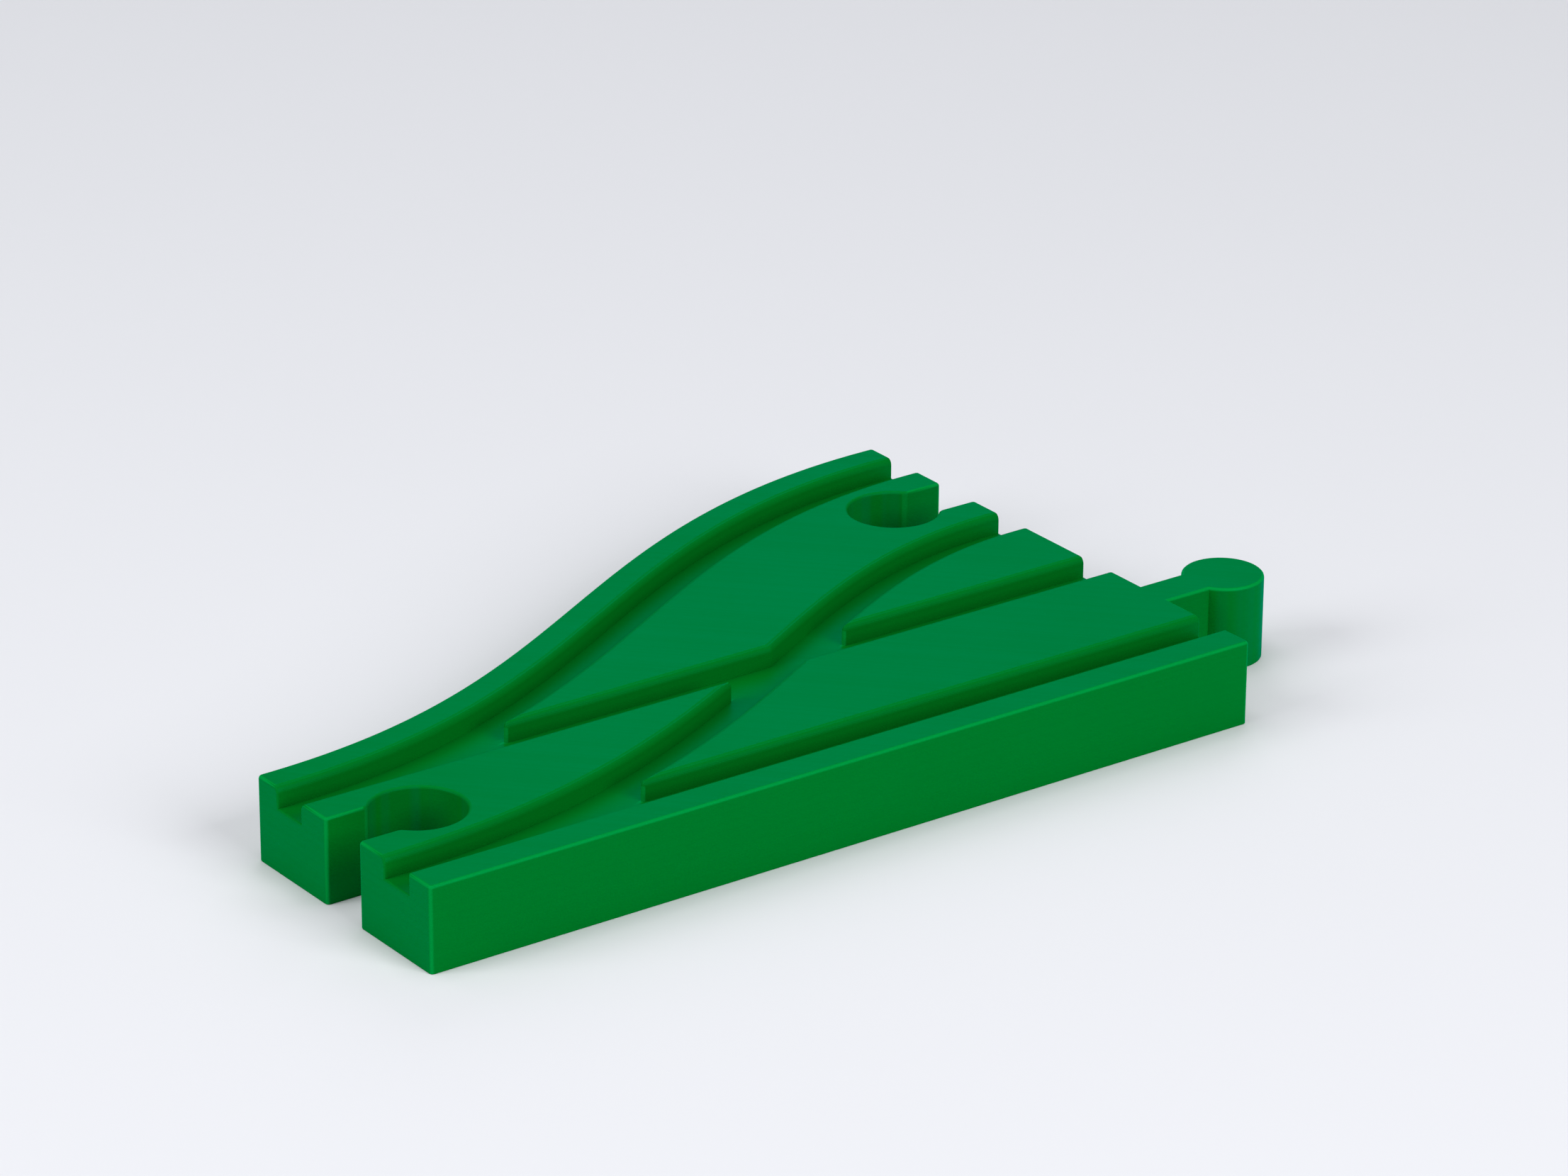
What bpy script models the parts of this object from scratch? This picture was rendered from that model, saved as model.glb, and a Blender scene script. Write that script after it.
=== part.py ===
"""Parallel turnout track: one printed piece of a toy railway.

A straight track runs along +X. A second track leaves it at the same end, follows a smooth S and
comes out beside it, parallel. Both tracks are a pair of wheel grooves sunk into one flat body.
Metres, +Z up. The origin is under the middle of the part, on the surface it lies on.
"""
import math

import bmesh
import bpy
from mathutils import Matrix, Vector

# Driving dimensions
TRACK_WIDTH = 0.0400        # width of one track, over its two rims
TRACK_HEIGHT = 0.0120       # thickness of the body
TRACK_LENGTH = 0.1295       # end face to end face
TRACK_PITCH = 0.0439        # straight centre line to parallel centre line
RIM_WIDTH = 0.0048          # body's side to the nearer wheel groove
GROOVE_WIDTH = 0.0055
GROOVE_DEPTH = 0.0030
EDGE_ROUND = 0.0010         # round-over along the top of a groove wall
CORNER_ROUND = 0.0003       # upright corners of the body
TIP_WIDTH = 0.0008          # where a pointed island is cut blunt
TIP_BLOCK = 0.0028          # width of the block that cuts it

TURN_LENGTH = 0.1278        # run of the S, then straight on to the end face
TURN_LEAD = 0.0581          # pull of the S's first handle, along +X
TURN_TAIL = 0.0449          # pull of its second handle, along -X

SOCKET_RADIUS = 0.00635
SOCKET_SETBACK = 0.0112     # end face to the socket's centre
SOCKET_NECK = 0.0077        # width of the slot from the end face into the socket
PLUG_RADIUS = 0.00565
PLUG_REACH = 0.0119         # end face to the centre of the plug's head
PLUG_NECK = 0.0059          # width of the bar that carries the head

# How finely curves are stepped
TURN_STEPS = 48
ROUND_STEPS = 3
HEAD_STEPS = 48
HALVINGS = 40               # how often a search along the S halves its span

# Places worked out from the dimensions
START_X = -(TRACK_LENGTH + PLUG_REACH + PLUG_RADIUS) / 2
END_X = START_X + TRACK_LENGTH
SIDE_Y = -(TRACK_PITCH + TRACK_WIDTH) / 2
MAIN_Y = SIDE_Y + TRACK_WIDTH / 2
BRANCH_Y = MAIN_Y + TRACK_PITCH
FLOOR_Z = TRACK_HEIGHT - GROOVE_DEPTH
GROOVE_OFFSET = TRACK_WIDTH / 2 - RIM_WIDTH - GROOVE_WIDTH / 2
OVERRUN = 0.004             # how far a cutter runs past what it cuts
TOUCH = 0.000001            # places nearer than this are one place
SHARP = math.radians(45)    # a corner that turns more than this gets rounded

GREEN = (0.0, 0.216, 0.051, 1.0)
ROUGHNESS = 0.38


# ---------------------------------------------------------------- the S-shaped centre line
def turn_point(t):
    """Centre line of the S and its unit normal at t from 0 to 1."""
    last_x = START_X + TURN_LENGTH
    ends = [Vector((START_X, MAIN_Y)), Vector((START_X + TURN_LEAD, MAIN_Y)),
            Vector((last_x - TURN_TAIL, BRANCH_Y)), Vector((last_x, BRANCH_Y))]
    s = 1 - t
    point = s ** 3 * ends[0] + 3 * s * s * t * ends[1] + 3 * s * t * t * ends[2] + t ** 3 * ends[3]
    along = s * s * (ends[1] - ends[0]) + 2 * s * t * (ends[2] - ends[1]) + t * t * (ends[3] - ends[2])
    along.normalize()
    return point, Vector((-along.y, along.x))


def turn_line(offset, before=0.0, after=0.0):
    """Points along the S at a sideways offset, with a straight lead before and after it."""
    line = []
    for step in range(TURN_STEPS + 1):
        point, normal = turn_point(step / TURN_STEPS)
        line.append(point + offset * normal)
    if before:
        line.insert(0, line[0] - Vector((before, 0)))
    line.append(Vector((END_X + after, line[-1].y)))
    return line


def tip_place(offset, wall_y, side):
    """Point on an offset line of the S that lies TIP_WIDTH to one side of a straight wall."""
    target = wall_y + side * TIP_WIDTH
    low, high = 0.0, 1.0
    for _ in range(HALVINGS):
        middle = (low + high) / 2
        point, normal = turn_point(middle)
        if (point + offset * normal).y < target:
            low = middle
        else:
            high = middle
    return (point + offset * normal).x


# ---------------------------------------------------------------- shaping helpers
def finish_mesh(name, mesh, collection):
    """Put a mesh in the scene as an object."""
    obj = bpy.data.objects.new(name, mesh)
    collection.objects.link(obj)
    return obj


def weld(mesh):
    """Join a converted curve's loose caps to its sides, with every face pointing out."""
    bm = bmesh.new()
    bm.from_mesh(mesh)
    bmesh.ops.remove_doubles(bm, verts=bm.verts, dist=TOUCH)
    bmesh.ops.recalc_face_normals(bm, faces=bm.faces)
    bm.to_mesh(mesh)
    bm.free()


def mesh_of_curve(curve, name, matrix=None):
    """Mesh made from a curve, moved by matrix where one is given."""
    source = bpy.data.objects.new(name + "_curve", curve)
    bpy.context.scene.collection.objects.link(source)
    bpy.context.view_layer.update()
    evaluated = source.evaluated_get(bpy.context.evaluated_depsgraph_get())
    mesh = bpy.data.meshes.new_from_object(evaluated)
    bpy.data.objects.remove(source)
    bpy.data.curves.remove(curve)
    mesh.name = name
    if matrix is not None:
        mesh.transform(matrix)
    weld(mesh)
    return mesh


def poly_curve(name, points, dimensions, cyclic):
    """Curve with one straight-sided spline through the points."""
    curve = bpy.data.curves.new(name, "CURVE")
    curve.dimensions = dimensions
    spline = curve.splines.new("POLY")
    spline.points.add(len(points) - 1)
    for control, point in zip(spline.points, points):
        control.co = (point[0], point[1], 0.0, 1.0)
    spline.use_cyclic_u = cyclic
    return curve


def slab(name, outline, low, high, collection):
    """Flat outline with a thickness from low to high."""
    curve = poly_curve(name, outline, "2D", True)
    curve.fill_mode = "BOTH"
    curve.extrude = (high - low) / 2
    lift = Matrix.Translation((0, 0, (low + high) / 2))
    return finish_mesh(name, mesh_of_curve(curve, name, lift), collection)


def box(name, low, high, collection):
    """Box between two corners."""
    bpy.ops.mesh.primitive_cube_add(size=1, location=[(a + b) / 2 for a, b in zip(low, high)])
    obj = bpy.context.active_object
    obj.scale = [b - a for a, b in zip(low, high)]
    bpy.ops.object.transform_apply(location=True, rotation=False, scale=True)
    obj.name = obj.data.name = name
    for old in list(obj.users_collection):
        old.objects.unlink(obj)
    collection.objects.link(obj)
    return obj


def groove_section(round_near):
    """Cross-section of a groove cutter: sideways, up. Its walls flare into the round-overs."""
    half = GROOVE_WIDTH / 2
    top = TRACK_HEIGHT + OVERRUN
    far = []
    for step in range(ROUND_STEPS + 1):
        angle = math.pi / 2 * step / ROUND_STEPS
        far.append((half + EDGE_ROUND * (1 - math.cos(angle)),
                    TRACK_HEIGHT - EDGE_ROUND * (1 - math.sin(angle))))
    far = [(half, FLOOR_Z)] + far + [(half + EDGE_ROUND, top)]
    near = [(-x, z) for x, z in reversed(far)] if round_near else [(-half, top), (-half, FLOOR_Z)]
    return far + near


def groove(name, line, round_near, collection):
    """Cutter for one wheel groove, swept along a line."""
    profile = [(-x, z) for x, z in groove_section(round_near)]
    section = poly_curve(name + "_section", profile, "2D", True)
    section_object = bpy.data.objects.new(section.name, section)
    bpy.context.scene.collection.objects.link(section_object)
    path = poly_curve(name, line, "3D", False)
    path.twist_mode = "Z_UP"
    path.bevel_mode = "OBJECT"
    path.bevel_object = section_object
    path.use_fill_caps = True
    cutter = finish_mesh(name, mesh_of_curve(path, name), collection)
    bpy.data.objects.remove(section_object)
    bpy.data.curves.remove(section)
    return cutter


# ---------------------------------------------------------------- the pieces
def round_corners(body):
    """Round the upright corners of the body with a weighted Bevel."""
    mesh = body.data
    bm = bmesh.new()
    bm.from_mesh(mesh)
    weight = bm.edges.layers.float.new("bevel_weight_edge")
    for edge in bm.edges:
        a, b = (vertex.co for vertex in edge.verts)
        upright = (a - b).xy.length < TOUCH
        at_end = min(abs(a.x - START_X), abs(a.x - END_X)) < TOUCH
        if upright and at_end and edge.calc_face_angle(0.0) > SHARP:
            edge[weight] = 1.0
    bm.to_mesh(mesh)
    bm.free()
    bevel = body.modifiers.new("upright_corners", "BEVEL")
    bevel.limit_method = "WEIGHT"
    bevel.width = CORNER_ROUND
    bevel.segments = ROUND_STEPS


def keyhole(end_x, reach, y, travel, radius, setback, neck):
    """Outline of a plug or a socket on an end face: a bar or slot, and a round head.

    reach is the way it points from the face, along X; travel is the outline's way, along Y.
    """
    centre = end_x + reach * setback
    half_gap = math.asin(neck / 2 / radius)
    points = [Vector((end_x, y - travel * neck / 2))]
    for step in range(HEAD_STEPS + 1):
        angle = (math.pi - half_gap) * (2 * step / HEAD_STEPS - 1)
        points.append(Vector((centre + reach * radius * math.cos(angle),
                              y + travel * radius * math.sin(angle))))
    points.append(Vector((end_x, y + travel * neck / 2)))
    return points


def make_body(parts):
    """Flat body with its plug and both sockets, all of one thickness."""
    outline = [Vector((START_X, SIDE_Y)), Vector((END_X, SIDE_Y))]
    outline += keyhole(END_X, 1, MAIN_Y, 1, PLUG_RADIUS, PLUG_REACH, PLUG_NECK)
    outline += keyhole(END_X, -1, BRANCH_Y, 1, SOCKET_RADIUS, SOCKET_SETBACK, SOCKET_NECK)
    outline += turn_line(TRACK_WIDTH / 2)[::-1]
    outline += keyhole(START_X, 1, MAIN_Y, -1, SOCKET_RADIUS, SOCKET_SETBACK, SOCKET_NECK)
    return slab("track_body", outline, 0.0, TRACK_HEIGHT, parts)


def groove_cutters(cutters, guards):
    """Two straight grooves, and two that follow the S and cross the farther straight one."""
    for label, side in (("near", -1), ("far", 1)):
        y = MAIN_Y + side * GROOVE_OFFSET
        line = [Vector((START_X - OVERRUN, y)), Vector((END_X + OVERRUN, y))]
        groove("straight_groove_" + label, line, side > 0, cutters)
    groove("turn_groove_outer", turn_line(GROOVE_OFFSET, OVERRUN, OVERRUN), True, cutters)
    inner = groove("turn_groove_inner", turn_line(-GROOVE_OFFSET, OVERRUN, OVERRUN), True, cutters)
    rim = box("near_rim", (START_X - 2 * OVERRUN, SIDE_Y - OVERRUN, 0.0),
              (END_X, SIDE_Y + RIM_WIDTH, TRACK_HEIGHT + 2 * OVERRUN), guards)
    keep_rim = inner.modifiers.new("keep_rim", "BOOLEAN")
    keep_rim.operation = "DIFFERENCE"
    keep_rim.solver = "EXACT"
    keep_rim.object = rim


def tip_cutters(cutters):
    """Blocks that cut the four pointed islands off where they get too thin to make."""
    inner, outer = GROOVE_OFFSET - GROOVE_WIDTH / 2, GROOVE_OFFSET + GROOVE_WIDTH / 2
    tips = [
        ("tip_straight_island", -outer, MAIN_Y - inner, 1, -1),
        ("tip_middle_island", -inner, MAIN_Y + inner, -1, 1),
        ("tip_branch_island", inner, MAIN_Y + outer, 1, -1),
        ("tip_wedge", -outer, MAIN_Y + outer, 1, -1),
    ]
    for name, offset, wall_y, side, reach in tips:
        x = tip_place(offset, wall_y, side)
        beyond = x + reach * OVERRUN
        middle = wall_y + side * TIP_WIDTH / 2
        box(name, (min(x, beyond), middle - TIP_BLOCK / 2, FLOOR_Z),
            (max(x, beyond), middle + TIP_BLOCK / 2, TRACK_HEIGHT + OVERRUN), cutters)


def printed_green():
    """Glossy green printed plastic."""
    material = bpy.data.materials.new("printed_green")
    material.use_nodes = True
    shader = material.node_tree.nodes["Principled BSDF"]
    shader.inputs["Base Color"].default_value = GREEN
    shader.inputs["Roughness"].default_value = ROUGHNESS
    shader.inputs["Metallic"].default_value = 0.0
    return material


def main():
    for obj in list(bpy.data.objects):
        bpy.data.objects.remove(obj)
    parts = bpy.data.collections.new("parallel_turnout_track")
    cutters = bpy.data.collections.new("cutters")
    guards = bpy.data.collections.new("cutter_guards")
    for collection in (parts, cutters, guards):
        bpy.context.scene.collection.children.link(collection)

    body = make_body(parts)
    round_corners(body)
    groove_cutters(cutters, guards)
    tip_cutters(cutters)
    cut = body.modifiers.new("grooves", "BOOLEAN")
    cut.operation = "DIFFERENCE"
    cut.solver = "EXACT"
    cut.operand_type = "COLLECTION"
    cut.collection = cutters
    body.data.materials.append(printed_green())

    for cutter in list(cutters.objects) + list(guards.objects):
        cutter.hide_render = True
        cutter.display_type = "WIRE"


main()
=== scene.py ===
"""Parallel turnout track of a toy railway, modelled and finished the way it comes off a printer.

One solid piece: a straight track, an S-shaped branch that comes out beside it, two wheel grooves
along each, a round knob at one end and keyhole sockets at the others. Metres, +Z up.
"""
import math

import bmesh
import bpy
from bpy.props import FloatProperty, FloatVectorProperty, PointerProperty
from mathutils import Matrix, Vector


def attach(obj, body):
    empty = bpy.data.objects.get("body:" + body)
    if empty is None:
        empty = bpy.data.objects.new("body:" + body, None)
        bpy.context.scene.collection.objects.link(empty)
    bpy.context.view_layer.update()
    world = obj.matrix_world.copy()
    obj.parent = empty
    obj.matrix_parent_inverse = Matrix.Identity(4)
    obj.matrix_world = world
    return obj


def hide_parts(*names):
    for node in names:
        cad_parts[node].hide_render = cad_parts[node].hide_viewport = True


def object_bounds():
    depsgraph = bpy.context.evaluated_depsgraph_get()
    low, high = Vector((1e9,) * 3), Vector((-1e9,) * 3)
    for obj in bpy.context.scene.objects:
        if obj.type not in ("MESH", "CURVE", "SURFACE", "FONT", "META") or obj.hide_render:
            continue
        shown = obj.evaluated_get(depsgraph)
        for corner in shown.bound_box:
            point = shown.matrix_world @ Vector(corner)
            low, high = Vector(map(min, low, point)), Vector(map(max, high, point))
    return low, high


bl_info = {
    "name": "Toy Railway Turnout",
    "version": (1, 0, 0),
    "blender": (4, 5, 0),
    "location": "3D View > Sidebar > Toy Track",
    "description": "Models a printed parallel turnout track and lights it on a pale floor",
    "category": "Add Mesh",
}

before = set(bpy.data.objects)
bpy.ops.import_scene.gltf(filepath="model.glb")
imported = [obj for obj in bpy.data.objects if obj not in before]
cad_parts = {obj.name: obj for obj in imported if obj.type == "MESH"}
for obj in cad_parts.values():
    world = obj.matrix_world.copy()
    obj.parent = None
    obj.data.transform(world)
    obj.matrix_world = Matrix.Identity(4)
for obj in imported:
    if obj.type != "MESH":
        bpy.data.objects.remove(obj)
CAD_LOW, CAD_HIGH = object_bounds()
CAD_NODE = "track_body"

# Small distances, in metres
OVERRUN = 0.004             # how far a cutter runs past what it cuts
MERGE = 0.000003            # points nearer than this are one point
NEAR = 0.00001              # how close a place has to be to be picked
LATE_START = 0.001          # where the turning cutters begin inside the straight grooves

# How finely curves are stepped
TURN_STEPS = 72             # along the S
HEAD_STEPS = 60             # round a knob's head or a socket's hole
NOSE_STEPS = 10             # round an island's blunt nose
MOUTH_STEPS = 3             # where a groove comes out of an end face
EDGE_STEPS = 3              # over the top edge and the upright corners
FOOT_STEPS = 2              # under the bottom edge
FLARE_STEPS = 4             # up the top of a groove's wall
HALVINGS = 40               # to find a place on the S

# Top of a groove's wall: an arc, then the step and the bead that the last layers leave.
# Their points are shares of the radius outward and of one layer down.
ARC_END = 0.8               # the arc stops this share of a layer below the top
TREAD = ((0.55, 0.68), (0.66, 0.64))
BEAD = ((0.74, 0.42), (0.83, 0.14), (0.92, 0.0))
CRISP_MIDDLE = 0.3          # share of the crisp edge's radius that its middle point is cut back

NOSE_DROP = 1.05            # a nose's round-over is this many times as deep as a groove's
HOLE_SIDES = 8              # a pinhole of up to this many sides, left by the cut, is filled
SHARP_ANGLE = math.radians(32)      # edges sharper than this are shaded sharp
CORNER_ANGLE = math.radians(20)     # upright edges sharper than this are rounded

# How strong a painted highlight each kind of place gets, from 0 to 1, in an attribute that the material
# reads: rounded edges are painted lighter green where light catches them
HIGHLIGHT_ATTRIBUTE = "worn"
HIGHLIGHT_GROOVE_TOP = 0.12
HIGHLIGHT_RIM = 1.0
HIGHLIGHT_CORNER = 0.9
HIGHLIGHT_SOCKET_CORNER = 0.45
HIGHLIGHT_DEPTH = 0.5           # share of a layer below the top that a groove's painted edge highlight reaches
NARROW = 0.8                # a face narrower than this share of a corner's radius is part of it
SHORT = 0.1                 # an upright edge shorter than this share of the height isn't a corner

# Patterns in the plastic, with its painted highlight and painted reflection streaks: noise scales are per
# metre, the rest are shares
FLAT = (0.75, 0.97)         # how level a face is where the sides' pattern gives way to the top's
WALL = (0.0001, 0.0004)     # how far from a round wall, in metres, its painted reflection streaks fade out
REFLECTION_BAND = (0.44, 0.68)         # range of the noise that makes a painted reflection streak
WANDER_SCALE, MOTTLE_SCALE, REFLECTION_SCALE, GRAIN_SCALE = 90.0, 35.0, 520.0, 4200.0
WANDER = 0.12               # how far a layer strays from level, in layers
BEAD_TONE, LAYER_TONE, LINE_TONE, MOTTLE_TONE = 0.35, 0.20, 0.12, 0.35      # toward deep green
REFLECTION_TONE = 0.45                            # toward the painted reflection's green
HIGHLIGHT_TONE, HIGHLIGHT_MOTTLE = 0.75, 0.25       # toward the painted highlight's green
MOTTLE_ROUGH, GRAIN_ROUGH, LAYER_ROUGH, LINE_ROUGH = 0.08, 0.03, 0.05, 0.04
ROUGH_BASE = -0.05                          # takes off most of what those four add
LAYER_UNEVEN, LINE_UNEVEN = 0.25, 0.5       # how much one bead or line is higher than the next
GRAIN_HEIGHT = 0.0000008                    # in metres

# The floor, in metres but for the noise scale, which is per metre
FLOOR_SIZE = 12.0
PAPER_SCALE = 6.0
PAPER_SHADE = 0.985         # how bright the paper's clouds are beside the rest of it
GLOW = (0.7, 2.2)           # the far glow starts and is full at these distances

# The softboxes: size and distance in metres, then name, azimuth and elevation in degrees, and watts
SOFTBOX_SIZE = 0.6
SOFTBOX_DISTANCE = 1.1
SOFTBOXES = (
    ("left_softbox", -100, 30, 5.4),
    ("front_softbox", 10, 30, 7.0),
    ("back_softbox", 140, 30, 1.3),
    ("top_softbox", 0, 89, 2.6),
    ("high_back_softbox", -150, 62, 0.8),
)


def length(label, words, size):
    """A size in metres that a user can change."""
    return FloatProperty(name=label, description=words, default=size, min=0.0, precision=5,
                         unit="LENGTH", subtype="DISTANCE")


def colour(label, words, red, green, blue):
    """A colour that a user can change."""
    return FloatVectorProperty(name=label, description=words, default=(red, green, blue), size=3,
                               min=0.0, max=1.0, subtype="COLOR")


def factor(label, words, share, top=1.0):
    """A plain number that a user can change."""
    return FloatProperty(name=label, description=words, default=share, min=0.0, max=top)


# ---------------------------------------------------------------- what a user can change
class TrackSizes(bpy.types.PropertyGroup):
    """Sizes of the track that the frame's box doesn't give."""
    track_width: length("Track width", "Width of one track over its two rims", 0.0400)
    rim_width: length("Rim width", "From the track's side to the nearer groove", 0.0048)
    groove_width: length("Groove width", "Width of a wheel groove at its floor", 0.0055)
    groove_depth: length("Groove depth", "Depth of a wheel groove", 0.0030)
    groove_round: length("Groove round-over", "Radius along the top of a groove's wall", 0.0010)
    rim_round: length("Rim round-over", "Radius along the near rim's crisp inner edge", 0.00012)
    layer: length("Layer", "Height of one printed layer", 0.0002)
    edge_round: length("Top edge", "Radius round the body's top edge", 0.00045)
    foot_round: length("Bottom edge", "Radius round the body's bottom edge", 0.00012)
    corner_round: length("Upright corners", "Radius of the body's upright corners", 0.0005)
    mouth_round: length("Groove mouths", "Radius where a groove comes out of an end face", 0.0003)
    tip_width: length("Tip width", "Width of the blunt nose on a pointed island", 0.0008)
    turn_length: length("Turn length", "Run of the S along the straight track", 0.1278)
    turn_lead: length("Turn lead", "Pull of the S's first handle", 0.0581)
    turn_tail: length("Turn tail", "Pull of the S's second handle", 0.0449)
    socket_radius: length("Socket radius", "Radius of a socket's round hole", 0.00635)
    socket_setback: length("Socket setback", "From the end face to the hole's centre", 0.0112)
    socket_neck: length("Socket slot", "Width of the slot into a socket", 0.0077)
    knob_radius: length("Knob radius", "Radius of the knob's head", 0.00565)
    knob_reach: length("Knob reach", "From the end face to the head's centre", 0.0119)
    knob_neck: length("Knob neck", "Width of the bar that carries the head", 0.0059)


class TrackFinish(bpy.types.PropertyGroup):
    """Colour and surface of the printed plastic."""
    green: colour("Green", "Colour of the plastic", 0.0, 0.183, 0.012)
    deep_green: colour("Deep green", "Colour of the plastic between the layers", 0.0, 0.158, 0.009)
    # Painted highlight: a lighter green put on rounded edges and noses, where light catches them
    highlight_green: colour("Painted highlight green", "Colour of the highlight painted on rounded edges and noses", 0.0, 0.290, 0.042)
    # Painted reflection: a teal green streaked up the round walls, where their gloss mirrors the softboxes
    reflection_green: colour("Painted reflection green", "Colour of the reflection streaks painted up the round walls", 0.0, 0.175, 0.040)
    pigment: colour("Pigment", "What the plastic's pigment lets through of its own shine", 0.0, 1.0, 1.0)
    roughness: factor("Roughness", "How matt the plastic is", 0.42)
    line_width: length("Line width", "Width of one printed line on a flat top", 0.00042)
    ridge_depth: length("Ridge depth", "How far one layer's bead stands out", 0.000012)
    line_depth: length("Line depth", "How far a printed line stands up on a flat top", 0.000002)


class StageLook(bpy.types.PropertyGroup):
    """Floor, lights and camera."""
    floor: colour("Floor", "Colour of the pale floor", 0.860, 0.870, 0.915)
    sky: colour("Surround", "Colour of the light that comes from all round", 0.97, 0.98, 1.0)
    sky_strength: factor("Surround strength", "Strength of that light", 0.22, 10.0)
    backdrop_strength: factor("Backdrop strength", "How bright the surround looks past the floor",
                              0.78, 10.0)
    far_glow: factor("Far glow", "How much the floor glows far from the track", 0.62)
    azimuth: FloatProperty(name="Azimuth", description="Camera's angle round the track from its near side",
                           default=math.radians(-36.07), subtype="ANGLE")
    elevation: FloatProperty(name="Elevation", description="Camera's angle above the floor",
                             default=math.radians(23.17), subtype="ANGLE")
    roll: FloatProperty(name="Roll", description="Camera's tilt about its own view",
                        default=math.radians(0.35), subtype="ANGLE")
    distance: length("Distance", "From the camera to the spot it looks at", 0.8904)
    lens: FloatProperty(name="Lens", description="Camera's focal length in millimetres", default=146.14,
                        min=1.0, subtype="NONE")
    target: FloatVectorProperty(name="Target", description="Spot on the floor that the camera looks at",
                                default=(0.0325, 0.0308, 0.0), size=3, subtype="TRANSLATION")


# ---------------------------------------------------------------- places worked out from the sizes
class TrackPlan:
    """Where things are on the track."""

    def __init__(self, sizes):
        self.start_x = CAD_LOW.x
        self.end_x = CAD_HIGH.x - sizes.knob_reach - sizes.knob_radius
        self.side_y = CAD_LOW.y
        self.main_y = CAD_LOW.y + sizes.track_width / 2
        self.branch_y = CAD_HIGH.y - sizes.track_width / 2
        self.top_z = CAD_HIGH.z
        self.floor_z = CAD_HIGH.z - sizes.groove_depth
        self.groove_offset = sizes.track_width / 2 - sizes.rim_width - sizes.groove_width / 2
        self.sockets = [Vector((self.start_x + sizes.socket_setback, self.main_y)),
                        Vector((self.end_x - sizes.socket_setback, self.branch_y))]
        self.socket_radius = sizes.socket_radius
        self.knob = Vector((self.end_x + sizes.knob_reach, self.main_y))
        turn_end = self.start_x + sizes.turn_length
        self.handles = [
            Vector((self.start_x, self.main_y, 0)),
            Vector((self.start_x + sizes.turn_lead, self.main_y, 0)),
            Vector((turn_end - sizes.turn_tail, self.branch_y, 0)),
            Vector((turn_end, self.branch_y, 0)),
        ]

    def turn(self, t, offset=0.0):
        """A place on the S at t from 0 to 1, offset to its left, and the S's heading there."""
        a, b, c, d = self.handles
        s = 1 - t
        place = s ** 3 * a + 3 * s * s * t * b + 3 * s * t * t * c + t ** 3 * d
        along = s * s * (b - a) + 2 * s * t * (c - b) + t * t * (d - c)
        heading = math.atan2(along.y, along.x)
        return place + Vector((-math.sin(heading), math.cos(heading), 0)) * offset, heading

    def in_socket(self, place, margin):
        """Whether a place is inside a socket's round hole, or no further outside it than a margin."""
        return any((place.xy - centre).length < self.socket_radius + margin for centre in self.sockets)

    def turn_at(self, reached):
        """The t at which a test of t turns true, for a test that stays true after that."""
        low, high = 0.0, 1.0
        for _ in range(HALVINGS):
            middle = (low + high) / 2
            low, high = (low, middle) if reached(middle) else (middle, high)
        return high


# ---------------------------------------------------------------- modelling by hand
def choose(kind, test):
    """Select the vertices, edges or faces of the mesh being edited that pass a test."""
    bpy.ops.mesh.select_mode(type={"verts": "VERT", "edges": "EDGE", "faces": "FACE"}[kind])
    bpy.ops.mesh.select_all(action="DESELECT")
    mesh = bpy.context.edit_object.data
    bm = bmesh.from_edit_mesh(mesh)
    for part in getattr(bm, kind):
        if test(part):
            part.select_set(True)
    bmesh.update_edit_mesh(mesh)


def stands(edge):
    """Whether an edge stands upright."""
    a, b = (vertex.co for vertex in edge.verts)
    return (a - b).xy.length < NEAR


def pull(way):
    """Extrude what is selected, and move it."""
    bpy.ops.mesh.extrude_region_move(TRANSFORM_OT_translate={"value": way})


def face_out():
    """Turn every face of the mesh being edited outwards."""
    bpy.ops.mesh.select_all(action="SELECT")
    bpy.ops.mesh.normals_make_consistent(inside=False)


class Pen:
    """Draws an outline as one vertex that is pulled along lines and spun along arcs."""

    def __init__(self, name, start):
        bpy.ops.object.select_all(action="DESELECT")
        bpy.ops.mesh.primitive_plane_add(size=OVERRUN)
        self.obj = bpy.context.active_object
        self.obj.name = self.obj.data.name = name
        bpy.ops.object.mode_set(mode="EDIT")
        bpy.ops.mesh.select_mode(type="VERT")
        bpy.ops.mesh.select_all(action="SELECT")
        bpy.ops.mesh.merge(type="CENTER")
        bpy.ops.transform.translate(value=start)
        self.at = Vector(start)

    def line(self, place):
        """Draw straight to a place."""
        pull(Vector(place) - self.at)
        self.at = Vector(place)

    def arc(self, centre, angle, steps):
        """Draw round an upright axis, counterclockwise seen from above."""
        bpy.ops.mesh.spin(steps=steps, angle=-angle, center=centre, axis=(0, 0, 1))
        turned = Matrix.Rotation(angle, 3, "Z") @ (self.at - Vector(centre))
        self.at = Vector(centre) + turned

    def fill(self):
        """Close the outline and fill it with one face."""
        bpy.ops.mesh.select_all(action="SELECT")
        bpy.ops.mesh.remove_doubles(threshold=MERGE)
        bpy.ops.mesh.edge_face_add()


def leave(obj):
    """Go back to object mode with the finished mesh."""
    bpy.ops.object.mode_set(mode="OBJECT")
    return obj


def apply_modifier(obj, kind, **settings):
    """Add a modifier with its settings and apply it."""
    bpy.ops.object.select_all(action="DESELECT")
    bpy.context.view_layer.objects.active = obj
    obj.select_set(True)
    bpy.ops.object.modifier_add(type=kind)
    modifier = obj.modifiers[-1]
    for name, value in settings.items():
        setattr(modifier, name, value)
    bpy.ops.object.modifier_apply(modifier=modifier.name)


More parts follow.
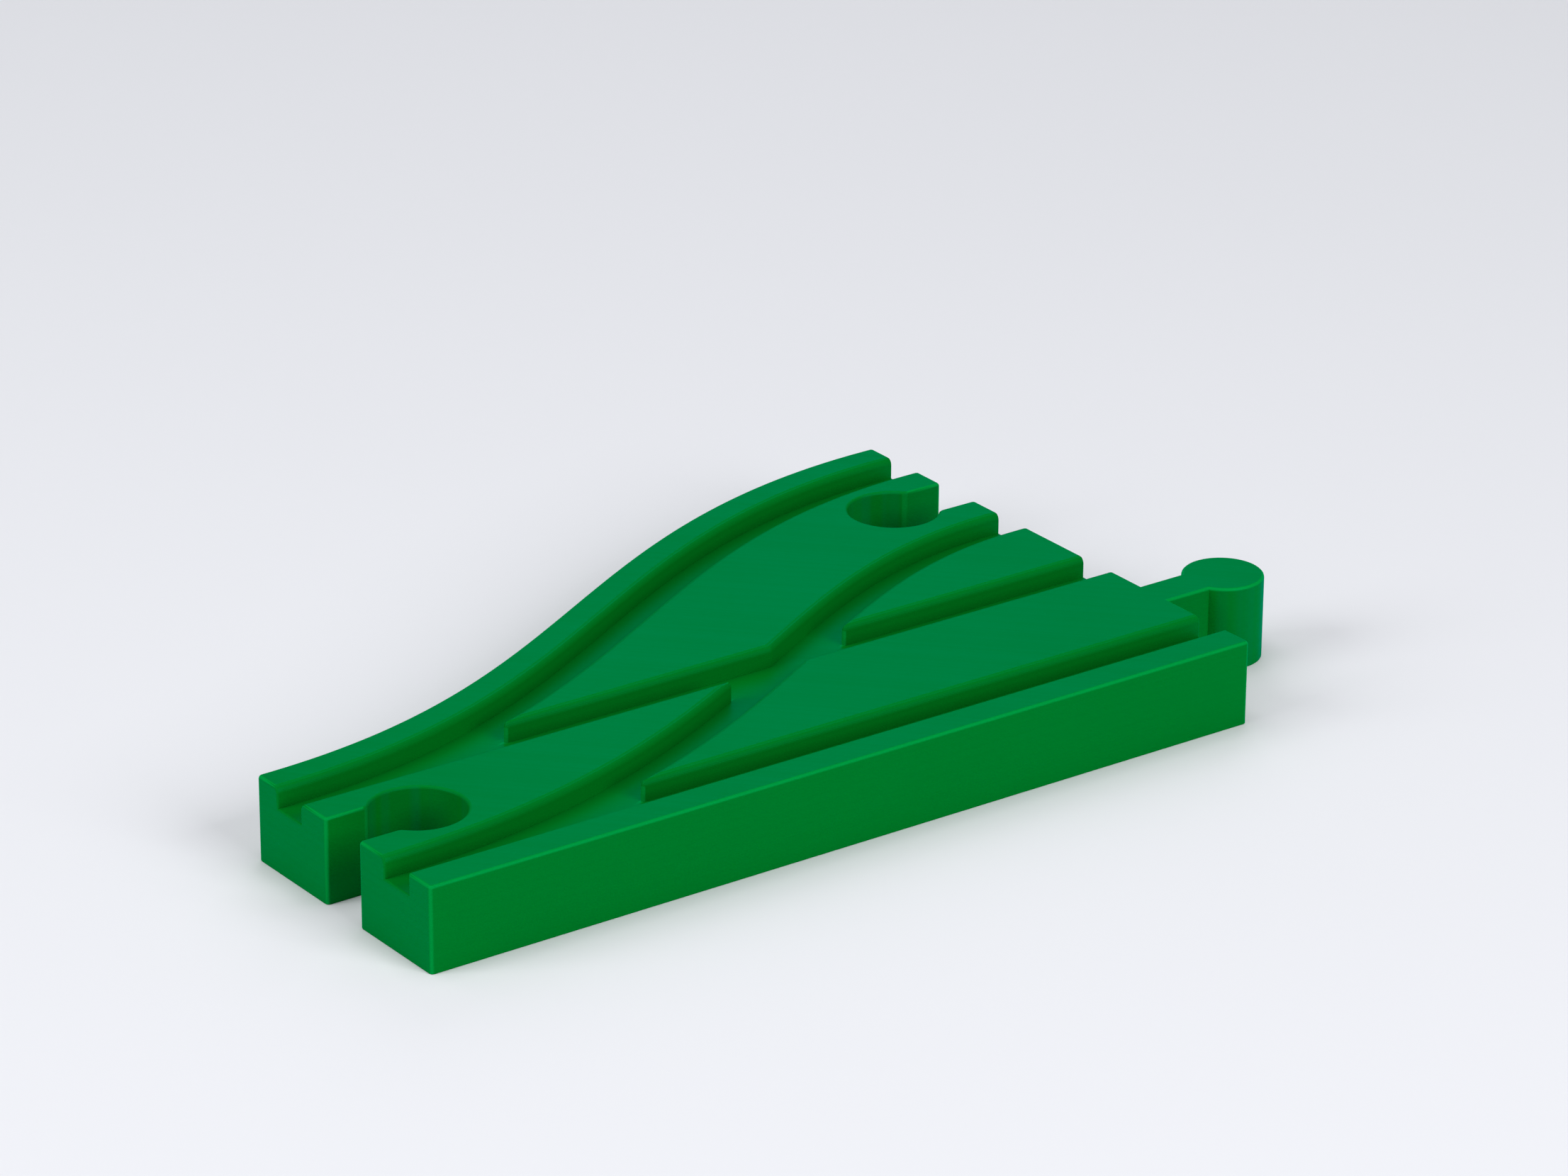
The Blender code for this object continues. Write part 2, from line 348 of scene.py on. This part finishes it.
# ---------------------------------------------------------------- the body's blank
def keyhole(pen, end_x, reach, y, travel, radius, setback, neck):
    """Draw a knob or a socket on an end face: a neck, a round head, and back to the face.

    reach is the way it points from the face, along X; travel is the outline's way, along Y.
    """
    centre = Vector((end_x + reach * setback, y, 0))
    half_gap = math.asin(neck / 2 / radius)
    root = centre.x - reach * radius * math.cos(half_gap)
    pen.line((end_x, y - travel * neck / 2, 0))
    pen.line((root, y - travel * neck / 2, 0))
    pen.arc(centre, reach * travel * 2 * (math.pi - half_gap), HEAD_STEPS)
    pen.line((end_x, y + travel * neck / 2, 0))


def draw_blank(sizes, plan):
    """Outline of the whole track, round both sockets and the knob, pulled up to its height."""
    pen = Pen("printed_track", (plan.start_x, plan.side_y, 0))
    pen.line((plan.end_x, plan.side_y, 0))
    keyhole(pen, plan.end_x, 1, plan.main_y, 1, sizes.knob_radius, sizes.knob_reach, sizes.knob_neck)
    socket = (sizes.socket_radius, sizes.socket_setback, sizes.socket_neck)
    half = sizes.track_width / 2
    keyhole(pen, plan.end_x, -1, plan.branch_y, 1, *socket)
    pen.line((plan.end_x, plan.branch_y + half, 0))
    for step in range(TURN_STEPS, -1, -1):
        pen.line(plan.turn(step / TURN_STEPS, half)[0])
    keyhole(pen, plan.start_x, 1, plan.main_y, -1, *socket)
    pen.fill()
    pull((0, 0, plan.top_z))
    face_out()
    return pen.obj


def round_blank(sizes, plan):
    """Round the upright corners, then the top edge all the way round, then the bottom one."""
    def corner(edge):
        return stands(edge) and edge.calc_face_angle_signed(0.0) > CORNER_ANGLE

    def rim_at(z):
        return lambda edge: all(abs(vertex.co.z - z) < NEAR for vertex in edge.verts)

    choose("edges", corner)
    bpy.ops.mesh.bevel(offset=sizes.corner_round, segments=EDGE_STEPS, affect="EDGES")
    choose("edges", rim_at(plan.top_z))
    bpy.ops.mesh.bevel(offset=sizes.edge_round, segments=EDGE_STEPS, affect="EDGES")
    choose("edges", rim_at(0.0))
    bpy.ops.mesh.bevel(offset=sizes.foot_round, segments=FOOT_STEPS, affect="EDGES")
    face_out()


def mark_highlights(sizes, plan):
    """Mark the middle of each rounded edge, and the noses, where the material paints a highlight in
    lighter green.
    """
    turns = (math.pi / 2 * step / EDGE_STEPS for step in range(1, EDGE_STEPS))
    rim_depths = [sizes.edge_round * (1 - math.sin(turn)) for turn in turns]

    def groove_top(vertex):
        return NEAR < plan.top_z - vertex.co.z < HIGHLIGHT_DEPTH * sizes.layer

    def outer_rim(vertex):
        on_rim = any(abs(plan.top_z - vertex.co.z - depth) < NEAR for depth in rim_depths)
        return on_rim and not plan.in_socket(vertex.co, sizes.edge_round + NEAR)

    def narrow(face):
        level = [edge for edge in face.edges if abs(edge.verts[0].co.z - edge.verts[1].co.z) < NEAR]
        across = max((edge.calc_length() for edge in level), default=0.0)
        return 0.0 < across < NARROW * sizes.corner_round

    def corner(edge):
        tall = edge.calc_length() > SHORT * plan.top_z
        return stands(edge) and tall and all(narrow(face) for face in edge.link_faces)

    def socket_corner(edge):
        return corner(edge) and plan.in_socket(edge.verts[0].co, 2 * sizes.corner_round)

    bpy.ops.geometry.attribute_add(name=HIGHLIGHT_ATTRIBUTE, domain="POINT", data_type="FLOAT")
    marks = (
        ("verts", groove_top, HIGHLIGHT_GROOVE_TOP),
        ("verts", outer_rim, HIGHLIGHT_RIM),
        ("edges", corner, HIGHLIGHT_CORNER),
        ("edges", socket_corner, HIGHLIGHT_SOCKET_CORNER),
    )
    for kind, test, worn in marks:
        bpy.ops.object.mode_set(mode="EDIT")
        choose(kind, test)
        bpy.ops.mesh.attribute_set(value_float=worn)
        bpy.ops.object.mode_set(mode="OBJECT")


# ---------------------------------------------------------------- cutters
def flare(sizes):
    """Top of a groove's wall, as places outward from the wall and up from the top plane."""
    radius, layer = sizes.groove_round, sizes.layer
    top_of_arc = math.asin(1 - ARC_END * layer / radius)
    wall = []
    for step in range(FLARE_STEPS + 1):
        angle = top_of_arc * step / FLARE_STEPS
        wall.append((radius * (1 - math.cos(angle)), -radius * (1 - math.sin(angle))))
    return wall + [(out * radius, -down * layer) for out, down in TREAD + BEAD]


def crisp(sizes):
    """Top of the near rim's inner wall, which is hardly rounded at all."""
    radius = sizes.rim_round
    return [(0.0, -radius), (CRISP_MIDDLE * radius, -CRISP_MIDDLE * radius), (radius, 0.0)]


def draw_groove(name, sizes, plan, path, left, right, start_mouth, end_mouth):
    """Bar that cuts one wheel groove: its section drawn once, then pulled from place to place.

    path is a list of (place, heading). A mouth flares the bar where it leaves an end face.
    """
    half, top = sizes.groove_width / 2, plan.top_z
    first = path[0][0]
    section = [(half, plan.floor_z)] + [(half + out, top + up) for out, up in left]
    section.append((section[-1][0], top + OVERRUN))
    other = [(-half, plan.floor_z)] + [(-half - out, top + up) for out, up in right]
    other.append((other[-1][0], top + OVERRUN))
    section += other[::-1]

    pen = Pen(name, (first.x, first.y + section[0][0], section[0][1]))
    for side, z in section[1:]:
        pen.line((first.x, first.y + side, z))
    pen.fill()

    rings = mouth_rings(path, sizes.mouth_round, start_mouth, end_mouth)
    place, heading, wide = rings[0]
    resize_ring(place, top + OVERRUN, half, plan.floor_z, 0.0, wide)
    for next_place, next_heading, next_wide in rings[1:]:
        pull(next_place - place)
        if next_heading != heading:
            bpy.ops.transform.rotate(value=heading - next_heading, orient_axis="Z",
                                     center_override=next_place)
        resize_ring(next_place, top + OVERRUN, half, plan.floor_z, wide, next_wide)
        place, heading, wide = next_place, next_heading, next_wide
    face_out()
    return leave(pen.obj)


def mouth_rings(path, radius, start_mouth, end_mouth):
    """The path with the extra places that a rounded mouth needs, and how far each one is widened."""
    turns = [math.pi / 2 * step / MOUTH_STEPS for step in range(MOUTH_STEPS + 1)]
    steps = [(radius * (1 - math.cos(turn)), radius * (1 - math.sin(turn))) for turn in turns]
    rings = [(place, heading, 0.0) for place, heading in path]
    if start_mouth is not None:
        place, heading, _ = rings[0]
        face = Vector((start_mouth, place.y, 0))
        opening = [(face + Vector((depth, 0, 0)), heading, wide) for depth, wide in steps]
        rings = [(place, heading, radius)] + opening + rings[1:]
    if end_mouth is not None:
        place, heading, _ = rings[-1]
        face = Vector((end_mouth, place.y, 0))
        opening = [(face - Vector((depth, 0, 0)), heading, wide) for depth, wide in reversed(steps)]
        rings = rings[:-1] + opening + [(place, heading, radius)]
    return rings


def resize_ring(place, top, half, floor, was, wide):
    """Widen the selected ring by hand, keeping its middle and its top where they are."""
    if was == wide:
        return
    sideways = (half + wide) / (half + was)
    down = (top - floor + wide) / (top - floor + was)
    bpy.ops.transform.resize(value=(1, sideways, down), center_override=(place.x, place.y, top))


def draw_nose(name, sizes, plan, place, reach):
    """Cutter that gives a pointed island a blunt nose, rounded over at its top like a groove's wall.

    reach is the way the nose points, along X.
    """
    radius, wide = sizes.tip_width / 2, sizes.groove_width / 4
    x, y, z = place.x, place.y, plan.floor_z
    pen = Pen(name, (x, y - wide, z))
    pen.line((x, y - radius, z))
    pen.arc((x, y, z), reach * math.pi, NOSE_STEPS)
    pen.line((x, y + wide, z))
    pen.line((x + reach * OVERRUN, y + wide, z))
    pen.line((x + reach * OVERRUN, y - wide, z))
    pen.fill()
    back, height = 0.0, z
    for out, up in flare(sizes):
        next_height = plan.top_z + up * NOSE_DROP
        pull((reach * (back - out), 0, next_height - height))
        back, height = out, next_height
    pull((0, 0, OVERRUN))
    face_out()
    return leave(pen.obj)


def add_block(name, low, high):
    """A box between two corners."""
    middle = [(a + b) / 2 for a, b in zip(low, high)]
    bpy.ops.object.select_all(action="DESELECT")
    bpy.ops.mesh.primitive_cube_add(size=1, location=middle, scale=[b - a for a, b in zip(low, high)])
    bpy.ops.object.transform_apply(location=True, rotation=False, scale=True)
    bpy.context.active_object.name = name
    return bpy.context.active_object


def straight_grooves(sizes, plan):
    """The two grooves of the straight track, with mouths at both end faces."""
    made = []
    for name, side in (("near_groove", -1), ("far_groove", 1)):
        y = plan.main_y + side * plan.groove_offset
        path = [(Vector((plan.start_x - OVERRUN, y, 0)), 0.0), (Vector((plan.end_x + OVERRUN, y, 0)), 0.0)]
        right = crisp(sizes) if side < 0 else flare(sizes)
        made.append(draw_groove(name, sizes, plan, path, flare(sizes), right, plan.start_x, plan.end_x))
    return made


def turning_grooves(sizes, plan):
    """The two grooves that follow the S, with mouths at the far end face only.

    A guard keeps the inner one, where it starts, out of the near rim.
    """
    made = []
    late = plan.turn_at(lambda t: plan.turn(t)[0].x >= plan.start_x + LATE_START)
    for name, offset in (("inner_groove", -plan.groove_offset), ("outer_groove", plan.groove_offset)):
        path = [plan.turn(late + (1 - late) * step / TURN_STEPS, offset) for step in range(TURN_STEPS + 1)]
        path.append((Vector((plan.end_x + OVERRUN, path[-1][0].y, 0)), 0.0))
        made.append(draw_groove(name, sizes, plan, path, flare(sizes), flare(sizes), None, plan.end_x))
    rim = add_block("rim_guard", (plan.start_x - OVERRUN, plan.side_y - OVERRUN, 0.0),
                    (plan.end_x, plan.side_y + sizes.rim_width, plan.top_z + 2 * OVERRUN))
    apply_modifier(made[0], "BOOLEAN", operation="DIFFERENCE", solver="EXACT", object=rim)
    bpy.data.objects.remove(rim)
    return made


def noses(sizes, plan):
    """Cutters for the four pointed islands."""
    near_edge = plan.groove_offset - sizes.groove_width / 2
    far_edge = plan.groove_offset + sizes.groove_width / 2
    tips = [
        ("straight_island_nose", -far_edge, plan.main_y - near_edge, -1),
        ("middle_island_nose", -near_edge, plan.main_y + near_edge, 1),
        ("branch_island_nose", near_edge, plan.main_y + far_edge, -1),
        ("wedge_nose", -far_edge, plan.main_y + far_edge, -1),
    ]
    made = []
    for name, offset, wall_y, reach in tips:
        edge_y = wall_y - reach * sizes.tip_width
        t = plan.turn_at(lambda t: plan.turn(t, offset)[0].y >= edge_y)
        place = Vector((plan.turn(t, offset)[0].x, (wall_y + edge_y) / 2, 0))
        made.append(draw_nose(name, sizes, plan, place, reach))
    return made


def cut(track, made):
    """Take all the cutters out of the track in one go, and clean the joins that the cut leaves."""
    cutters = bpy.data.collections.new("track_cutters")
    for cutter in made:
        cutters.objects.link(cutter)
    apply_modifier(track, "BOOLEAN", operation="DIFFERENCE", solver="EXACT",
                   operand_type="COLLECTION", collection=cutters)
    for cutter in made:
        bpy.data.objects.remove(cutter)
    bpy.data.collections.remove(cutters)

    bpy.ops.object.mode_set(mode="EDIT")
    bpy.ops.mesh.select_mode(type="VERT")
    bpy.ops.mesh.select_all(action="SELECT")
    bpy.ops.mesh.remove_doubles(threshold=MERGE)
    bpy.ops.mesh.delete_loose(use_verts=True, use_edges=True, use_faces=False)
    bpy.ops.mesh.select_all(action="SELECT")
    bpy.ops.mesh.fill_holes(sides=HOLE_SIDES)
    leave(track)


# ---------------------------------------------------------------- materials
class Shade:
    """A socket in a material, or a number; sums on it add Math nodes."""

    def __init__(self, tree, socket):
        self.tree = tree
        self.socket = socket

    def node(self, kind, settings=None, sockets=None, output=0):
        """Add any node: its settings first, then the values or links of its sockets."""
        made = self.tree.nodes.new("ShaderNode" + kind)
        for name, value in (settings or {}).items():
            setattr(made, name, value)
        for name, value in (sockets or {}).items():
            if isinstance(value, Shade):
                self.tree.links.new(value.socket, made.inputs[name])
            else:
                made.inputs[name].default_value = value
        return Shade(self.tree, made.outputs[output]) if made.outputs else made

    def sum(self, operation, *terms):
        """One Math node."""
        return self.node("Math", {"operation": operation}, dict(enumerate(terms)))

    def __add__(self, other):
        return self.sum("ADD", self, other)

    def __sub__(self, other):
        return self.sum("SUBTRACT", self, other)

    def __rsub__(self, other):
        return self.sum("SUBTRACT", other, self)

    def __mul__(self, other):
        return self.sum("MULTIPLY", self, other)

    def __truediv__(self, other):
        return self.sum("DIVIDE", self, other)

    __radd__ = __add__
    __rmul__ = __mul__

    def blend(self, share, first, second):
        """Colour between two colours, by a share from 0 to 1."""
        first, second = (part if isinstance(part, Shade) else (*part, 1) for part in (first, second))
        sockets = {"Factor": share, "A": first, "B": second}
        return self.node("Mix", {"data_type": "RGBA"}, sockets, output="Result")

    def sine(self):
        """Its sine, in radians."""
        return self.sum("SINE", self)

    def size(self):
        """Its value without the sign."""
        return self.sum("ABSOLUTE", self)

    def root(self):
        """Its square root."""
        return self.sum("SQRT", self)

    def floor(self):
        """The whole number below it."""
        return self.sum("FLOOR", self)

    def between(self, low, high):
        """0 at low, 1 at high, eased between them."""
        return self.node("MapRange", {"interpolation_type": "SMOOTHSTEP"},
                         {"Value": self, "From Min": low, "From Max": high})


def new_material(name):
    """An empty node material, and a Shade to start its nodes from."""
    material = bpy.data.materials.new(name)
    material.use_nodes = True
    material.node_tree.nodes.clear()
    return material, Shade(material.node_tree, None)


def round_wall(x, y, centre, radius):
    """1 on and just round an upright round wall, 0 elsewhere."""
    away = ((x - centre.x) * (x - centre.x) + (y - centre.y) * (y - centre.y)).root()
    return 1 - (away - radius).size().between(*WALL)


def printed_plastic(finish, sizes, plan):
    """Semi-gloss printed plastic: beaded layers up its sides, fine lines over its flat tops.

    The coat reflects nothing of its own. It tints the shine as the pigment does.
    """
    material, start = new_material("printed_green_plastic")
    place = start.node("TexCoord", output="Object")
    split = start.node("SeparateXYZ", sockets={"Vector": place}).socket.node.outputs
    x, y, z = (Shade(start.tree, split[axis]) for axis in ("X", "Y", "Z"))
    facing = start.node("NewGeometry", output="Normal")
    up = Shade(start.tree, start.node("SeparateXYZ", sockets={"Vector": facing}).socket.node.outputs["Z"])
    flat = up.size().between(*FLAT)

    wander = start.node("TexNoise", {"noise_dimensions": "3D"},
                        {"Vector": place, "Scale": WANDER_SCALE, "Detail": 2.0})
    layer = z / sizes.layer + wander * WANDER
    bead = (layer * math.pi).sine().size()
    layer_chance = start.node("TexWhiteNoise", {"noise_dimensions": "1D"}, {"W": layer.floor()})

    diagonal = (x + y) * (math.sqrt(0.5) / finish.line_width)
    stroke = (diagonal * math.pi).sine().size()
    stroke_chance = start.node("TexWhiteNoise", {"noise_dimensions": "1D"}, {"W": diagonal.floor()})

    mottle = start.node("TexNoise", {"noise_dimensions": "3D"},
                        {"Vector": place, "Scale": MOTTLE_SCALE, "Detail": 3.0, "Roughness": 0.55})
    grain = start.node("TexNoise", {"noise_dimensions": "3D"},
                       {"Vector": place, "Scale": GRAIN_SCALE, "Detail": 2.0})

    # Painted reflection: teal streaks up the round walls of the knob and sockets, standing in for the
    # softboxes that their gloss mirrors
    round_walls = round_wall(x, y, plan.knob, sizes.knob_radius)
    for centre in plan.sockets:
        round_walls = round_walls + round_wall(x, y, centre, sizes.socket_radius)
    level = start.node("CombineXYZ", sockets={"X": x, "Y": y})
    reflection_noise = start.node("TexNoise", {"noise_dimensions": "3D"},
                      {"Vector": level, "Scale": REFLECTION_SCALE, "Detail": 1.0, "Roughness": 0.4})
    reflection_streaks = round_walls * (1 - flat) * reflection_noise.between(*REFLECTION_BAND)

    layer_tone = (1 - bead) * BEAD_TONE + layer_chance * LAYER_TONE
    tone = (1 - flat) * layer_tone + flat * stroke_chance * LINE_TONE + mottle * MOTTLE_TONE
    green = start.blend(tone, finish.green, finish.deep_green)
    green = start.blend(reflection_streaks * REFLECTION_TONE, green, finish.reflection_green)
    # Painted highlight: the marked rounded edges and noses are mixed toward a lighter green, where light
    # catches them
    worn = start.node("Attribute", {"attribute_name": HIGHLIGHT_ATTRIBUTE}, output="Fac")
    green = start.blend(worn * (HIGHLIGHT_TONE + mottle * HIGHLIGHT_MOTTLE), green, finish.highlight_green)
    rough = (finish.roughness + ROUGH_BASE + mottle * MOTTLE_ROUGH + grain * GRAIN_ROUGH
             + (1 - flat) * layer_chance * LAYER_ROUGH + flat * stroke_chance * LINE_ROUGH)

    ridges = (1 - flat) * (bead + layer_chance * LAYER_UNEVEN) * finish.ridge_depth
    strokes = flat * (stroke + stroke_chance * LINE_UNEVEN) * finish.line_depth
    height = ridges + strokes + grain * GRAIN_HEIGHT
    bump = start.node("Bump", None, {"Height": height, "Distance": 1.0, "Strength": 1.0})
    shader = start.node("BsdfPrincipled", None, {
        "Base Color": green,
        "Roughness": rough,
        "Normal": bump,
        "IOR": 1.46,
        "Specular IOR Level": 0.13,
        "Coat Weight": 1.0,
        "Coat Roughness": 0.45,
        "Coat IOR": 1.0,
        "Coat Tint": (*finish.pigment, 1),
    })
    start.node("OutputMaterial", None, {"Surface": shader})
    return material


def floor_paper(look):
    """Matt pale backdrop paper with a faint unevenness, which glows far out where no softbox reaches."""
    material, start = new_material("pale_paper")
    place = start.node("TexCoord", output="Object")
    cloud = start.node("TexNoise", {"noise_dimensions": "3D"},
                       {"Vector": place, "Scale": PAPER_SCALE, "Detail": 2.0})
    shade = start.blend(cloud, look.floor, [part * PAPER_SHADE for part in look.floor])
    away = start.node("VectorMath", {"operation": "LENGTH"}, {"Vector": place}, output="Value")
    shader = start.node("BsdfPrincipled", None, {
        "Base Color": shade, "Roughness": 0.8, "Specular IOR Level": 0.2,
        "Emission Color": start.blend(away.between(*GLOW), (0, 0, 0), look.floor),
        "Emission Strength": look.far_glow})
    start.node("OutputMaterial", None, {"Surface": shader})
    return material


# ---------------------------------------------------------------- light and camera
def look_from(azimuth, elevation):
    """Direction from the object to a place round it; azimuth 0 is its near side."""
    return Vector((math.sin(azimuth) * math.cos(elevation), -math.cos(azimuth) * math.cos(elevation),
                   math.sin(elevation)))


def add_camera(look):
    """Camera that looks at the target from its azimuth, elevation and distance."""
    back = look_from(look.azimuth, look.elevation)
    side = (-back).cross(Vector((0, 0, 1))).normalized()
    turned = Matrix.Rotation(look.roll, 3, back) @ Matrix((side, back.cross(side), back)).transposed()
    data = bpy.data.cameras.new("camera")
    data.lens = look.lens
    camera = bpy.data.objects.new("camera", data)
    camera.matrix_world = Matrix.Translation(Vector(look.target) + back * look.distance) @ turned.to_4x4()
    bpy.context.scene.collection.objects.link(camera)
    bpy.context.scene.camera = camera


def add_softbox(name, azimuth, elevation, power):
    """Square soft white light that faces the middle of the track."""
    data = bpy.data.lights.new(name, "AREA")
    data.shape = "SQUARE"
    data.size = SOFTBOX_SIZE
    data.energy = power
    back = look_from(math.radians(azimuth), math.radians(elevation))
    lamp = bpy.data.objects.new(name, data)
    turned = back.to_track_quat("Z", "Y").to_matrix().to_4x4()
    lamp.matrix_world = Matrix.Translation(back * SOFTBOX_DISTANCE) @ turned
    bpy.context.scene.collection.objects.link(lamp)


def surround(look):
    """Dim even light from all round, which looks pale where it shows past the floor."""
    world = bpy.data.worlds.new("surround")
    world.use_nodes = True
    start = Shade(world.node_tree, None)
    seen = start.node("LightPath")
    strength = look.sky_strength + seen * (look.backdrop_strength - look.sky_strength)
    background = world.node_tree.nodes["Background"]
    background.inputs["Color"].default_value = (*look.sky, 1)
    world.node_tree.links.new(strength.socket, background.inputs["Strength"])
    return world


# ---------------------------------------------------------------- operators
class TOYTRACK_OT_body(bpy.types.Operator):
    """Model the printed track, with its grooves, sockets and knob, and finish it"""
    bl_idname = "toytrack.body"
    bl_label = "Add Track"
    bl_options = {"REGISTER", "UNDO"}

    def execute(self, context):
        sizes, finish = context.scene.toytrack_sizes, context.scene.toytrack_finish
        plan = TrackPlan(sizes)
        track = draw_blank(sizes, plan)
        round_blank(sizes, plan)
        leave(track)
        cut(track, straight_grooves(sizes, plan) + turning_grooves(sizes, plan) + noses(sizes, plan))
        if not track.data.polygons:
            raise RuntimeError("the cut left nothing of the track")
        mark_highlights(sizes, plan)
        bpy.ops.object.shade_smooth_by_angle(angle=SHARP_ANGLE)
        apply_modifier(track, "WEIGHTED_NORMAL", keep_sharp=True, weight=100)

        track.data.materials.clear()
        track.data.materials.append(printed_plastic(finish, sizes, plan))
        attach(track, "root")
        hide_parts(CAD_NODE)
        return {"FINISHED"}


class TOYTRACK_OT_stage(bpy.types.Operator):
    """Lay a pale floor, and set up soft light and the camera"""
    bl_idname = "toytrack.stage"
    bl_label = "Add Stage"
    bl_options = {"REGISTER", "UNDO"}

    def execute(self, context):
        look = context.scene.toytrack_stage
        bpy.ops.object.select_all(action="DESELECT")
        bpy.ops.mesh.primitive_plane_add(size=FLOOR_SIZE)
        floor = context.active_object
        floor.name = "floor"
        floor.data.materials.append(floor_paper(look))

        context.scene.world = surround(look)
        context.scene.view_settings.view_transform = "Standard"
        for softbox in SOFTBOXES:
            add_softbox(*softbox)
        add_camera(look)
        return {"FINISHED"}


class TOYTRACK_PT_panel(bpy.types.Panel):
    """Lists the track's steps, sizes and colours"""
    bl_idname = "TOYTRACK_PT_panel"
    bl_label = "Toy Track"
    bl_space_type = "VIEW_3D"
    bl_region_type = "UI"
    bl_category = "Toy Track"

    def draw(self, context):
        self.layout.operator("toytrack.body")
        self.layout.operator("toytrack.stage")
        for group in (context.scene.toytrack_sizes, context.scene.toytrack_finish,
                      context.scene.toytrack_stage):
            box = self.layout.box()
            for name in group.__annotations__:
                box.prop(group, name)


CLASSES = (TrackSizes, TrackFinish, StageLook, TOYTRACK_OT_body, TOYTRACK_OT_stage, TOYTRACK_PT_panel)


def register():
    """Make the classes and their settings known."""
    for cls in CLASSES:
        bpy.utils.register_class(cls)
    bpy.types.Scene.toytrack_sizes = PointerProperty(type=TrackSizes)
    bpy.types.Scene.toytrack_finish = PointerProperty(type=TrackFinish)
    bpy.types.Scene.toytrack_stage = PointerProperty(type=StageLook)


def unregister():
    """Undo register."""
    del bpy.types.Scene.toytrack_stage
    del bpy.types.Scene.toytrack_finish
    del bpy.types.Scene.toytrack_sizes
    for cls in reversed(CLASSES):
        bpy.utils.unregister_class(cls)


def main():
    """Model the track and set the stage."""
    register()
    bpy.ops.toytrack.body()
    bpy.ops.toytrack.stage()


if __name__ == "__main__":
    main()
